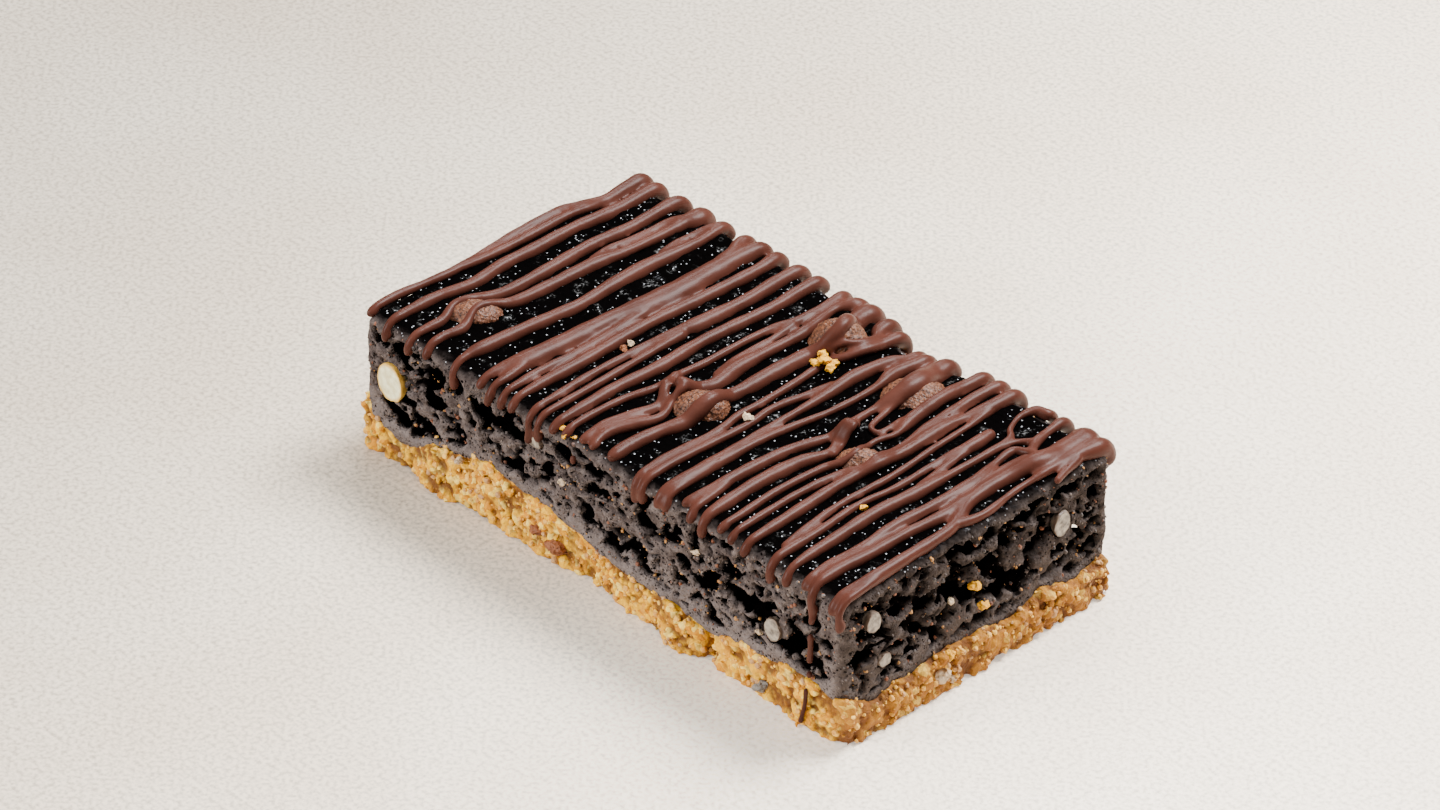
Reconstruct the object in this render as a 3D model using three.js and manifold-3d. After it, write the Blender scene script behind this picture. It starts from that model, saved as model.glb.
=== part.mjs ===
// A cut bar of dark, open-crumbed chocolate brownie on a crumbly golden biscuit base. Nut pieces are
// baked into it, chocolate chips stand in its crust, and thick chocolate is drizzled across the top.
// Millimetres, +Z up. X runs along the bar, its long cut side that shows faces -Y, its cut end +X.
// The origin is the centre of the flat underside.
import * as THREE from "three";
import { ImprovedNoise } from "three/addons/math/ImprovedNoise.js";
import { mergeVertices } from "three/addons/utils/BufferGeometryUtils.js";
import Module from "manifold-3d";

const wasm = await Module();
wasm.setup();
const perlin = new ImprovedNoise();

// Driving dimensions
const BASE = { left: -50, right: 50, front: -26, back: 26 };
const CAKE = { left: -48.5, right: 48.4, front: -25.6, back: 26.2, top: 23.5 };
const EDGE_RADIUS = 2.2;
const WAVINESS = 0.35;
const LENGTH = BASE.right - BASE.left;
const WIDTH = BASE.back - BASE.front;
const GAP = 0.3; // clear space between pieces that touch in the real bar
const GRID = { columns: 18, rows: 7, layers: 3 }; // faces of each layer's solid

// Height of the seam between biscuit and cake, at even steps along each side that shows
const FRONT_SEAM = [7.5, 4.4, 8, 10.6, 9.4, 8.4, 6.8, 6.2, 5.4, 7.4, 8, 7.6];
const END_SEAM = [7.6, 5, 5.6, 6.4, 5.8, 4.8, 6.8, 5, 6.4];

// Biscuit ledges that stand out of the front (reach > 0) or are broken away (reach < 0)
const FRONT_LEDGES = [
  { x: -33, reach: 1.2, halfWidth: 6 },
  { x: -2, reach: -1.2, halfWidth: 8 },
  { x: 17, reach: 1.6, halfWidth: 7 },
  { x: 22.5, reach: -1.6, halfWidth: 1.6 },
  { x: 41, reach: 0.7, halfWidth: 7 },
];
const RIM_CRUMBS = 22; // larger crumbs that stand out of the biscuit's rim
const BACK_HOLLOW = { x: 14, depth: 2.8, halfWidth: 11 };

// Chips on top: centre, length along X, width along Y, rise above the crust, turn in degrees
const CHIPS = [
  { x: 3.8, y: 16.6, length: 8.5, width: 7.5, rise: 3, turn: 35 },
  { x: 2.3, y: -7.6, length: 9, width: 6.6, rise: 2.7, turn: 42 },
  { x: 20, y: 16.4, length: 10.5, width: 8.5, rise: 1.9, turn: 50 },
  { x: 26.4, y: -0.4, length: 8, width: 5.6, rise: 1.9, turn: 45 },
  { x: -37.4, y: -14.6, length: 9.8, width: 6.4, rise: 1.7, turn: 42 },
];
// Bumps of crumb that the drizzle covers
const LUMPS = [
  { x: -2.2, y: -8, radius: 2.4, rise: 2.4 },
  { x: 21.2, y: 2.6, radius: 2, rise: 2.2 },
  { x: 43.6, y: 16, radius: 3.6, rise: 0.8 },
];

// Nut pieces cut open at a side: place on it, and size along it, up it and into it
const NUTS = [
  { side: "front", along: -43, up: 13.8, length: 5.2, height: 6.2, depth: 5 },
  { side: "front", along: 35.2, up: 12.6, length: 3, height: 3.8, depth: 3 },
  { side: "front", along: -12.4, up: 19.2, length: 2.8, height: 1.8, depth: 2.6 },
  { side: "end", along: 16.6, up: 16, length: 3, height: 4, depth: 3 },
  { side: "end", along: -19.8, up: 18, length: 2.6, height: 3.4, depth: 3 },
  { side: "end", along: -17.6, up: 10.6, length: 2.4, height: 2, depth: 2.4 },
];

const NUT_PROUD = 0.4; // how far a nut piece stands out of the cut face

// Largest open pockets of the crumb: place on the side, and size along it and up it
const POCKETS = {
  front: [
    [-34.5, 16, 7, 2.6],
    [-35.5, 9.3, 7, 3],
    [-44, 9.6, 4.6, 1.7],
    [-44.5, 20, 3.6, 2],
    [-20.5, 17, 2.6, 1.8],
    [-0.7, 19.8, 4, 2.3],
    [-0.8, 16.6, 3.6, 2.6],
    [-9.5, 15.4, 2.2, 3.2],
    [9.4, 16.2, 3.2, 2],
    [7.6, 11, 4.2, 3],
    [14, 17.4, 2.4, 2.8],
    [17, 11, 4, 2],
    [26.8, 17.8, 4, 3],
    [29, 14.2, 5, 3.8],
    [39, 14.4, 4, 3.4],
    [41, 9, 3, 2.4],
  ],
  end: [
    [3, 16, 5.4, 4],
    [7, 11.4, 8.6, 3.6],
    [-1.2, 12.8, 3.8, 3],
    [-19, 16, 4, 2.8],
    [-22, 12.6, 4.6, 3],
    [-14, 16.6, 3.4, 2],
    [13, 17, 3.4, 3],
    [19, 10, 3, 3],
    [23, 9.4, 3.8, 2.8],
    [-7.6, 8.8, 2.6, 2.8],
    [-4, 21, 3, 3],
  ],
  back: [],
  left: [],
};
const SMALL_POCKETS = { front: 18, end: 8, back: 12, left: 6 };
const SMALL_POCKET = { least: 1, most: 3.2 };

// Drizzle strands, all but the thinnest, in order along the bar: X at the back edge, in the middle
// and at the front edge, and width. Strands that meet run together, where the stream crossed itself.
const STRANDS = [
  [-46.3, -46.8, -47.8, 1.7],
  [-42.8, -43.2, -44, 2],
  [-37.8, -38.2, -38.7, 2],
  [-32.5, -34, -35.8, 1.8],
  [-29.4, -28.3, -30.2, 2],
  [-27.7, -28.6, -28, 1.4],
  [-23.8, -22.6, -22, 1.8],
  [-21.7, -21.8, -24.2, 3.4],
  [-17, -17.4, -16.8, 1.9],
  [-12.8, -13.9, -13.6, 1.5],
  [-8.8, -9.2, -9, 1.9],
  [-3, -2.8, -2.7, 1.9],
  [-1.5, -1.4, -2, 1.7],
  [2.3, 3.2, 1.4, 2.2],
  [5.8, 3.4, 1.8, 1.6],
  [12.6, 10, 9, 1.4],
  [15.3, 14.8, 13.4, 1.5],
  [18.3, 18.8, 16.8, 2.1],
  [20.2, 20.8, 21, 2.2],
  [23.5, 24.6, 23.9, 1.4],
  [28.4, 29, 28.8, 1.9],
  [30.1, 31.4, 33.6, 1.5],
  [34.6, 34, 34.3, 1.4],
  [35.5, 36.3, 36.6, 1.6],
  [40, 40.5, 40.3, 1.5],
  [43.8, 43.2, 42.5, 2.4],
  [46.2, 46, 46.8, 1.4],
];
const STRAND = { sides: 5, steps: 8, sink: 0.2, backTail: [0.6, 2.6], drip: [1, 3.6], wander: 0.5 };

const COLOURS = {
  biscuit: new THREE.MeshStandardMaterial({ color: 0xc08a3e, roughness: 0.9, metalness: 0 }),
  cake: new THREE.MeshStandardMaterial({ color: 0x2a1f1c, roughness: 0.75, metalness: 0 }),
  chip: new THREE.MeshStandardMaterial({ color: 0x5c3626, roughness: 0.7, metalness: 0 }),
  nut: new THREE.MeshStandardMaterial({ color: 0xe2d3a4, roughness: 0.6, metalness: 0 }),
};

// Seeded random numbers from 0 to 1
function makeRandom(seed) {
  let state = seed;
  return () => {
    state = (state * 1664525 + 1013904223) % 4294967296;
    return state / 4294967296;
  };
}

// Smooth unevenness from -1 to 1; grain is the size of its bumps
function uneven(x, y, z, grain) {
  return perlin.noise(x / grain + 7.3, y / grain + 3.1, z / grain + 5.7) * 1.6;
}

const { clamp, lerp, smoothstep, degToRad } = THREE.MathUtils;

// A smooth hill from 0 to 1 round the middle, gone at a distance of halfWidth
function hill(distance, halfWidth) {
  return 1 - smoothstep(Math.abs(distance), 0, halfWidth);
}

// Value at share t, from 0 to 1, of a smooth curve through evenly spaced values
function along(values, t) {
  const place = clamp(t, 0, 1) * (values.length - 1);
  const i = Math.min(Math.floor(place), values.length - 2);
  return lerp(values[i], values[i + 1], smoothstep(place - i, 0, 1));
}

function seamHeight(x, y) {
  const alongX = (x - BASE.left) / LENGTH;
  const alongY = (y - BASE.front) / WIDTH;
  const sides = lerp(along(FRONT_SEAM, alongX), along(FRONT_SEAM, 1 - alongX), clamp(alongY, 0, 1));
  return lerp(sides, along(END_SEAM, alongY), smoothstep(x, BASE.right - 9, BASE.right - 2));
}

function cakeFront(x) {
  return CAKE.front + 0.3 * uneven(x, 0, 0, 9);
}

function cakeBack(x) {
  const hollow = BACK_HOLLOW.depth * hill(x - BACK_HOLLOW.x, BACK_HOLLOW.halfWidth);
  return CAKE.back - hollow + 0.4 * uneven(x, 20, 0, 8);
}

function crustHeight(x, y) {
  return CAKE.top + 0.35 * uneven(x, y, 0, 13);
}

// How far a chip or lump lifts the drizzle above the crust at x, y
function lift(x, y) {
  let most = 0;
  for (const chip of CHIPS) {
    const turned = new THREE.Vector2(x - chip.x, y - chip.y).rotateAround(
      new THREE.Vector2(),
      -degToRad(chip.turn),
    );
    const away = Math.hypot(turned.x / (chip.length / 2), turned.y / (chip.width / 2));
    most = Math.max(most, (chip.rise + GAP) * hill(away, 1.5) ** 0.6);
  }
  for (const lump of LUMPS) {
    const away = Math.hypot(x - lump.x, y - lump.y);
    most = Math.max(most, lump.rise * hill(away, lump.radius * 1.5));
  }
  return most;
}

// Point and outward direction at a distance along the skin of the cake, measured across the bar
// from the middle of the top: past the front edge it runs down the front, and before the back edge
// it has come up the back.
function skin(x, distance) {
  const towardsFront = distance > 0;
  const edge = Math.abs(towardsFront ? cakeFront(x) : cakeBack(x)) - EDGE_RADIUS;
  const past = Math.abs(distance) - edge;
  const angle = clamp(past / EDGE_RADIUS, 0, Math.PI / 2);
  const down = Math.max(0, past - (EDGE_RADIUS * Math.PI) / 2);
  const side = towardsFront ? -1 : 1;
  const y = side * (Math.min(Math.abs(distance), edge) + EDGE_RADIUS * Math.sin(angle));
  const z = crustHeight(x, y) - EDGE_RADIUS * (1 - Math.cos(angle)) - down;
  const out = new THREE.Vector3(0, side * Math.sin(angle), Math.cos(angle));
  return { point: new THREE.Vector3(x, y, z), out };
}

// Merged, position-only copy of a geometry, as a solid
function solid(geometry) {
  const bare = new THREE.BufferGeometry();
  const source = geometry.index ? geometry.toNonIndexed() : geometry;
  bare.setAttribute("position", source.getAttribute("position"));
  const merged = mergeVertices(bare, 1e-4);
  return new wasm.Manifold(
    new wasm.Mesh({
      numProp: 3,
      vertProperties: new Float32Array(merged.attributes.position.array),
      triVerts: new Uint32Array(merged.index.array),
    }),
  );
}

// Largest single body of a solid, as a named mesh
function node(name, shape, material) {
  const bodies = shape.decompose().sort((a, b) => b.volume() - a.volume());
  const mesh = bodies[0].getMesh();
  const geometry = new THREE.BufferGeometry();
  geometry.setAttribute("position", new THREE.BufferAttribute(mesh.vertProperties, 3));
  geometry.setIndex(new THREE.BufferAttribute(mesh.triVerts, 1));
  geometry.computeVertexNormals();
  const made = new THREE.Mesh(geometry, material);
  made.name = name;
  return made;
}

// A gridded box with its points moved by place(u, v, w): u and v are shares of the length and width
// with close rows at the edges, and w is a share of the height
function block(place) {
  const { columns, rows, layers } = GRID;
  const box = new THREE.BoxGeometry(columns, rows, layers, columns, rows, layers);
  const points = box.getAttribute("position");
  for (let i = 0; i < points.count; i++) {
    const u = rowPlace(Math.round(points.getX(i) + columns / 2), columns, LENGTH) / LENGTH;
    const v = rowPlace(Math.round(points.getY(i) + rows / 2), rows, WIDTH) / WIDTH;
    const moved = place(u, v, points.getZ(i) / layers + 0.5);
    points.setXYZ(i, moved.x, moved.y, moved.z);
  }
  return solid(box);
}

// A low-sided pebble with its size, centre and turn
function pebble(size, centre, turn, detail = 0) {
  const stone = new THREE.IcosahedronGeometry(0.5, detail);
  const placed = new THREE.Matrix4().compose(
    centre,
    new THREE.Quaternion().setFromEuler(turn),
    new THREE.Vector3(1, 1, 1),
  );
  stone.scale(size.x, size.y, size.z);
  return solid(stone.applyMatrix4(placed));
}

// Place on a cut side of the cake, from the distance along it, up it and into it
function onSide(side, distance, up, into = 0) {
  const places = {
    front: () => new THREE.Vector3(distance, cakeFront(distance) + into, up),
    back: () => new THREE.Vector3(distance, cakeBack(distance) - into, up),
    left: () => new THREE.Vector3(CAKE.left + into, distance, up),
    end: () => new THREE.Vector3(CAKE.right - into, distance, up),
  };
  return places[side]();
}

// A size given along a side, up it and into it, turned to the axes
function sizeOnSide(side, length, height, depth) {
  const acrossBar = side === "front" || side === "back";
  return acrossBar
    ? new THREE.Vector3(length, depth, height)
    : new THREE.Vector3(depth, length, height);
}

// Distance from the near end of a side for row number index of count: two close rows where the edge
// is rounded, and even rows between them
function rowPlace(index, count, length) {
  const fromEnd = Math.min(index, count - index);
  const close = [0, 0.3 * EDGE_RADIUS, EDGE_RADIUS];
  const even = lerp(EDGE_RADIUS, length - EDGE_RADIUS, (index - 2) / (count - 4));
  if (fromEnd > 2) {
    return even;
  }
  return index === fromEnd ? close[fromEnd] : length - close[fromEnd];
}

// Plain body of the cake, its cut sides a little wavy; moved out and down by clear, it is the shape
// of the bed that it sits in
function cakeBody(clear = 0) {
  return block((u, v, w) => {
    const wave = WAVINESS * uneven(u * LENGTH, v * WIDTH, w * 16, 4);
    const wall = clear + wave * Math.sin(Math.PI * w);
    const x = lerp(CAKE.left - wall, CAKE.right + wall, u);
    const front = cakeFront(x) - wall;
    const back = cakeBack(x) + wall;
    const y = lerp(front, back, v);
    const inward = Math.min(x - CAKE.left, CAKE.right - x, y - front, back - y);
    const short = clamp(EDGE_RADIUS - inward, 0, EDGE_RADIUS);
    const drop = EDGE_RADIUS - Math.sqrt(EDGE_RADIUS ** 2 - short ** 2);
    const floor = seamHeight(x, y);
    return new THREE.Vector3(x, y, lerp(floor, crustHeight(x, y) - drop, w) - clear);
  });
}

// Open pockets of the crumb on one side: the largest where they show, small ones between them
function pocketsOn(side, random) {
  const acrossBar = side === "front" || side === "back";
  const reach = acrossBar ? CAKE.right - 3 : CAKE.back - 3;
  const made = POCKETS[side].map(([distance, up, length, height]) =>
    pebble(
      sizeOnSide(side, length * 1.1, height * 1.1, height * 1.6),
      onSide(side, distance, up),
      new THREE.Euler(0.2 * random(), 0.2 * random(), 0.2 * random()),
    ),
  );
  for (let i = 0; i < SMALL_POCKETS[side]; i++) {
    const spread = (i + 0.2 + 0.6 * random()) / SMALL_POCKETS[side];
    const distance = lerp(-reach, reach, spread);
    const size = lerp(SMALL_POCKET.least, SMALL_POCKET.most, random() ** 2);
    const foot = onSide(side, distance, 0);
    const up = lerp(seamHeight(foot.x, foot.y) + 2.5, CAKE.top - 3.5, random());
    const clear = NUTS.every(
      (nut) => nut.side !== side || Math.hypot(nut.along - distance, nut.up - up) > 3.5,
    );
    if (clear) {
      made.push(
        pebble(
          sizeOnSide(side, size * 1.4, size, size * 1.5),
          onSide(side, distance, up),
          new THREE.Euler(random() * 3, random() * 3, random() * 3),
        ),
      );
    }
  }
  return made;
}

// Shares of a strand's length bunched towards both ends, where it bends over the edges
function bunched(t) {
  return lerp(t, 0.5 - 0.5 * Math.cos(Math.PI * t), 0.6);
}

// One strand of drizzle: it starts on the back, crosses the top over whatever lies there, and ends
// in a drip that narrows down the front.
function strand([back, middle, front, width], random) {
  const tail = lerp(...STRAND.backTail, random());
  const drip = lerp(...STRAND.drip, random());
  const start = -(cakeBack(back) + tail);
  const end = -cakeFront(front) + drip;
  const phase = random() * 50;
  const thickness = 0.5 + 0.2 * width;
  const tube = new THREE.CylinderGeometry(1, 1, 1, STRAND.sides, STRAND.steps);
  const points = tube.getAttribute("position");
  for (let i = 0; i < points.count; i++) {
    const t = bunched(points.getY(i) + 0.5);
    const distance = lerp(start, end, t);
    const bend = 4 * t * (1 - t);
    const straight = lerp(back, front, t);
    const sway = STRAND.wander * uneven(phase, distance, 0, 12);
    const x = straight + bend * (middle - (back + front) / 2) + sway;
    const { point, out } = skin(x, distance);
    const raised = lift(point.x, point.y) - STRAND.sink;
    const blunt = Math.sqrt(clamp(Math.min(t / 0.02, (1 - t) / 0.02), 0.15, 1));
    const taper = blunt * lerp(1, 0.6, smoothstep(t, 0.9, 1)) * (1 + 0.12 * uneven(phase, distance, 9, 6));
    const wide = (-points.getX(i) * width * taper) / 2; // turned round, as t runs towards -Y
    const high = points.getZ(i) * thickness * taper;
    point.addScaledVector(out, raised + high);
    points.setXYZ(i, point.x + wide, point.y, point.z);
  }
  return solid(tube);
}

function chipSolid(chip, grow = 0) {
  const height = chip.rise * 2 + 1.4;
  const size = new THREE.Vector3(chip.length, chip.width, height).addScalar(2 * grow);
  const centre = new THREE.Vector3(chip.x, chip.y, crustHeight(chip.x, chip.y) - 0.7);
  return pebble(size, centre, new THREE.Euler(0, 0, degToRad(chip.turn)), 1);
}

function nutSolid(nut, grow = 0) {
  const size = sizeOnSide(nut.side, nut.length, nut.height, nut.depth).addScalar(2 * grow);
  const centre = onSide(nut.side, nut.along, nut.up, 0.5 * nut.depth - NUT_PROUD);
  return pebble(size, centre, new THREE.Euler(0, 0, 0), 1);
}

function cakeSolid() {
  const random = makeRandom(41);
  const sides = ["front", "end", "back", "left"];
  const pockets = sides.flatMap((side) => pocketsOn(side, random));
  const lumps = LUMPS.map((lump) => {
    const size = new THREE.Vector3(2.2 * lump.radius, 2.2 * lump.radius, 2 * lump.rise);
    return pebble(size, new THREE.Vector3(lump.x, lump.y, CAKE.top), new THREE.Euler(0, 0, 0));
  });
  const strands = STRANDS.map((row) => strand(row, random));
  const beds = [...CHIPS.map((c) => chipSolid(c, GAP)), ...NUTS.map((n) => nutSolid(n, GAP))];
  return wasm.Manifold.union([
    cakeBody().subtract(wasm.Manifold.union(pockets)),
    ...lumps,
    ...strands,
  ]).subtract(wasm.Manifold.union(beds));
}

function baseFront(x) {
  const ledges = FRONT_LEDGES.reduce(
    (sum, ledge) => sum + ledge.reach * hill(x - ledge.x, ledge.halfWidth),
    0,
  );
  return BASE.front - ledges;
}

// Biscuit base: flat underneath, its rim broken back unevenly, its top hollowed to take the cake
function baseSolid() {
  const random = makeRandom(12);
  const body = block((u, v, w) => {
    const crag = Math.max(0, 0.9 * uneven(u * LENGTH, v * WIDTH, w * 4, 3.5));
    const x = lerp(BASE.left + crag, BASE.right - crag, u);
    const y = lerp(baseFront(x) + crag, BASE.back - crag, v);
    const inward = Math.min(x - BASE.left, BASE.right - x, y - baseFront(x), BASE.back - y);
    const worn = w === 0 ? 0.5 * crag * hill(inward, 2) : 0;
    const rim = seamHeight(x, y) - GAP;
    return new THREE.Vector3(x, y, lerp(worn, rim + smoothstep(inward, 1.5, 6), w));
  });
  const crumbs = [];
  for (let i = 0; i < RIM_CRUMBS; i++) {
    const turn = (i / RIM_CRUMBS) * 2 * Math.PI;
    const x = clamp(0.68 * LENGTH * Math.cos(turn), BASE.left + 0.6, BASE.right - 0.6);
    const y = clamp(0.96 * WIDTH * Math.sin(turn), baseFront(x) + 0.5, BASE.back - 0.5);
    const size = lerp(1.6, 3, random());
    const up = lerp(size / 2, Math.max(seamHeight(x, y) - size / 2 - 1, size / 2), random());
    crumbs.push(
      pebble(
        new THREE.Vector3(size, size, size * 0.8),
        new THREE.Vector3(x, y, up),
        new THREE.Euler(random() * 3, 0, random() * 3),
      ),
    );
  }
  return wasm.Manifold.union([body, ...crumbs]).subtract(cakeBody(GAP));
}

const bar = new THREE.Group();
bar.name = "brownie_bar";
bar.add(node("biscuit_base", baseSolid(), COLOURS.biscuit));
bar.add(node("brownie_cake", cakeSolid(), COLOURS.cake));
CHIPS.forEach((chip, i) => bar.add(node(`chocolate_chip_${i + 1}`, chipSolid(chip), COLOURS.chip)));
NUTS.forEach((nut, i) => bar.add(node(`nut_piece_${i + 1}`, nutSolid(nut), COLOURS.nut)));

export default bar;
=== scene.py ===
"""A cut bar of dark, open-crumbed chocolate brownie on a crumbly golden biscuit base.

Shapes are worked out in millimetres, with the bar's frame: X along the bar to its cut end, the long
cut side that shows facing -Y, +Z up from the flat underside. Each piece is scaled to metres last.
"""

import math
import random

import bpy
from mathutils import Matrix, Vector


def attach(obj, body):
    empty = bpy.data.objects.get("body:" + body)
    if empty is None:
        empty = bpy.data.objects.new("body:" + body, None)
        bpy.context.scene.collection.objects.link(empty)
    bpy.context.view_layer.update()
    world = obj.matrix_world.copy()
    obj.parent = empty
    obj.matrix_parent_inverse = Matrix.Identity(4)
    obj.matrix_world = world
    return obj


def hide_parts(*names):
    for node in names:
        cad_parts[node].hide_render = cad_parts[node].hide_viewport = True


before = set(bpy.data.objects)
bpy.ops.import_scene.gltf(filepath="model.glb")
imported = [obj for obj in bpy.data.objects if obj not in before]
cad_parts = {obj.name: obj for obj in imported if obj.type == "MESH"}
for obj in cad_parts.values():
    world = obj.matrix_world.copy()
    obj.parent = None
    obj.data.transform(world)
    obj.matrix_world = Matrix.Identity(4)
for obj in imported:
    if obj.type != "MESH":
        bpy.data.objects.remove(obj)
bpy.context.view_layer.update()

MM = 0.001
MOST_TRIANGLES = {"cake": 198000, "biscuit": 190000, "drizzle": 190000, "crumbs": 195000}

# Driving sizes of the bar, in millimetres
BASE = {"left": -50, "right": 50, "front": -26, "back": 26}
CAKE = {"left": -48.5, "right": 48.4, "front": -25.6, "back": 26.2, "top": 23.4}
EDGE_RADIUS = 2.2
CORNER_RADIUS = 1.6
# Heights of the seam at even steps along the front and along the cut end
FRONT_SEAM = [7.5, 4.4, 8, 10.6, 9.4, 8.4, 6.8, 6.2, 5.4, 7.4, 8, 7.6]
END_SEAM = [7.6, 5, 5.6, 6.4, 5.8, 4.8, 6.8, 5, 6.4]
# Swells and hollows of the biscuit's front: X, how far out, and half the width
FRONT_LEDGES = [(-33, 1.2, 6), (-2, -1.2, 8), (17, 1.6, 7), (22.5, -1.6, 1.6), (41, 0.7, 7)]
BACK_HOLLOW = {"x": 14, "depth": 2.8, "half_width": 11}


class Wire:
    """An output socket of a node, on which sums add Math or Vector Math nodes."""

    def __init__(self, bench, socket):
        self.bench = bench
        self.socket = socket
        self.is_vector = socket.type in ("VECTOR", "RGBA")

    def sum(self, operation, *others):
        vector = self.is_vector or any(isinstance(o, Wire) and o.is_vector for o in others)
        kind = "ShaderNodeVectorMath" if vector else "ShaderNodeMath"
        return self.bench.node(kind, dict(enumerate((self, *others))), {"operation": operation})

    def __add__(self, other):
        return self.sum("ADD", other)

    def __radd__(self, other):
        return self.bench.wire(other).sum("ADD", self) if isinstance(other, tuple) else self + other

    def __sub__(self, other):
        return self.sum("SUBTRACT", other)

    def __rsub__(self, other):
        return self * -1 + other

    def __mul__(self, other):
        by_vector = isinstance(other, tuple) or getattr(other, "is_vector", False)
        if self.is_vector and not by_vector:
            return self.bench.node(
                "ShaderNodeVectorMath", {0: self, "Scale": other}, {"operation": "SCALE"}
            )
        return self.sum("MULTIPLY", other)

    def __rmul__(self, other):
        return self * other

    def __truediv__(self, other):
        return self * (1 / other) if isinstance(other, (int, float)) else self.sum("DIVIDE", other)

    def __rtruediv__(self, other):
        return self.bench.node("ShaderNodeMath", {0: other, 1: self}, {"operation": "DIVIDE"})

    def __pow__(self, other):
        return self.sum("POWER", other)

    def least(self, other):
        return self.sum("MINIMUM", other)

    def most(self, other):
        return self.sum("MAXIMUM", other)

    def size(self):
        return self.sum("ABSOLUTE")

    def length(self):
        return self.bench.node(
            "ShaderNodeVectorMath", {0: self}, {"operation": "LENGTH"}, output="Value"
        )

    def axes(self):
        split = self.bench.node("ShaderNodeSeparateXYZ", {0: self}, output=None)
        return [Wire(self.bench, out) for out in split.outputs]

    def step(self, low, high, to_low=0, to_high=1, smooth=True):
        """Share of the way from low to high, clamped, and mapped to the two results."""
        return self.bench.node(
            "ShaderNodeMapRange",
            {"Value": self, "From Min": low, "From Max": high, "To Min": to_low, "To Max": to_high},
            {"interpolation_type": "SMOOTHSTEP" if smooth else "LINEAR"},
            output="Result",
        )

    def hill(self, centre, half_width):
        """1 at the centre, falling smoothly to 0 at half_width from it."""
        return (self - centre).size().step(0, half_width, 1, 0)


class Bench:
    """Adds nodes to a tree of geometry or shader nodes."""

    def __init__(self, tree):
        self.tree = tree

    def node(self, kind, values, settings=None, output=0):
        made = self.tree.nodes.new(kind)
        for name, value in (settings or {}).items():
            setattr(made, name, value)
        self.feed(made, values)
        if output is None:
            return made
        if isinstance(output, int):
            return Wire(self, [out for out in made.outputs if out.enabled][output])
        return Wire(self, self.live_socket(made.outputs, output))

    def feed(self, node, values):
        """Links wires to the node's inputs and sets the other values on them."""
        for name, value in values.items():
            by_place = isinstance(name, int)
            socket = node.inputs[name] if by_place else self.live_socket(node.inputs, name)
            if isinstance(value, Wire):
                self.tree.links.new(value.socket, socket)
            elif isinstance(value, tuple) and socket.type == "RGBA":
                socket.default_value = (*value, 1)[:4]
            else:
                socket.default_value = value

    def live_socket(self, sockets, name):
        return next(s for s in sockets if s.enabled and name in (s.name, s.identifier))

    def wire(self, value):
        if isinstance(value, tuple):
            return self.node("ShaderNodeCombineXYZ", dict(enumerate(value)))
        return value

    def vector(self, x, y, z):
        return self.wire((x, y, z))

    def place(self):
        return self.node("GeometryNodeInputPosition", {})

    def stored(self, name):
        return self.node("GeometryNodeInputNamedAttribute", {"Name": name})

    def ball(self, radius, fineness):
        return self.node("GeometryNodeMeshIcoSphere", {"Radius": radius, "Subdivisions": fineness})

    def moved(self, shape, **to):
        """The shape with its points at a new Position, or moved by an Offset."""
        return self.node("GeometryNodeSetPosition", {"Geometry": shape, **to})

    def noise(self, where, grain, detail=2, output=0):
        """Smooth noise from about -1 to 1 with bumps of the grain's size, or its colour output."""
        values = {"Vector": where, "Scale": 1 / grain, "Detail": detail}
        made = self.node("ShaderNodeTexNoise", values, output=output)
        return made if output else (made - 0.5) * 3

    def warp(self, where, grain, reach):
        """The place moved about by noise."""
        drift = self.noise(where, grain, 1, output="Color") - (0.5, 0.5, 0.5)
        return where + drift * (2 * reach)

    def cells(self, where, grain):
        """Distance from the centre of each cell, in grains, and the cell's own random colour."""
        made = self.node("ShaderNodeTexVoronoi", {"Vector": where, "Scale": 1 / grain}, output=None)
        return Wire(self, made.outputs["Distance"]), Wire(self, made.outputs["Color"])

    def mix(self, share, first, second, kind="RGBA"):
        values = {"Factor": share, "A": first, "B": second}
        return self.node("ShaderNodeMix", values, {"data_type": kind}, output="Result")

    def along(self, values, share):
        """A smooth curve through evenly spaced values, at a share of its length from 0 to 1."""
        place = share * (len(values) - 1)
        height = values[0]
        for i, (low, high) in enumerate(zip(values, values[1:])):
            height = place.step(i, i + 1, 0, high - low) + height
        return height


def new_tree(name, sizes):
    """A geometry tree with an input for each named size; returns its bench and their wires."""
    tree = bpy.data.node_groups.new(name, "GeometryNodeTree")
    tree.is_modifier = True
    tree.interface.new_socket("Geometry", in_out="INPUT", socket_type="NodeSocketGeometry")
    for label in sizes:
        tree.interface.new_socket(label, in_out="INPUT", socket_type="NodeSocketFloat")
    tree.interface.new_socket("Geometry", in_out="OUTPUT", socket_type="NodeSocketGeometry")
    bench = Bench(tree)
    entry = tree.nodes.new("NodeGroupInput")
    wires = {out.name: Wire(bench, out) for out in entry.outputs if out.name}
    return bench, wires


def new_object(name, data):
    made = bpy.data.objects.new(name, data)
    bpy.context.scene.collection.objects.link(made)
    return made


def grow(name, bench, shape, sizes, material, source=None):
    """Ends the tree, runs it on an object and returns the result: a plain mesh object in metres."""
    tree = bench.tree
    smooth = bench.node("GeometryNodeSetShadeSmooth", {"Geometry": shape})
    scaled = bench.node("GeometryNodeTransform", {"Geometry": smooth, "Scale": (MM, MM, MM)})
    whole = bench.node("GeometryNodeRealizeInstances", {"Geometry": scaled})
    painted = bench.node("GeometryNodeSetMaterial", {"Geometry": whole, "Material": material})
    exit_node = tree.nodes.new("NodeGroupOutput")
    tree.links.new(painted.socket, exit_node.inputs[0])
    mesh = source or bpy.data.meshes.new(name)
    maker = new_object(name, mesh)
    modifier = maker.modifiers.new(tree.name, "NODES")
    modifier.node_group = tree
    for item in tree.interface.items_tree:
        if item.in_out == "INPUT" and item.name in sizes:
            modifier[item.identifier] = float(sizes[item.name])
    return settled(maker, name)


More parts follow.
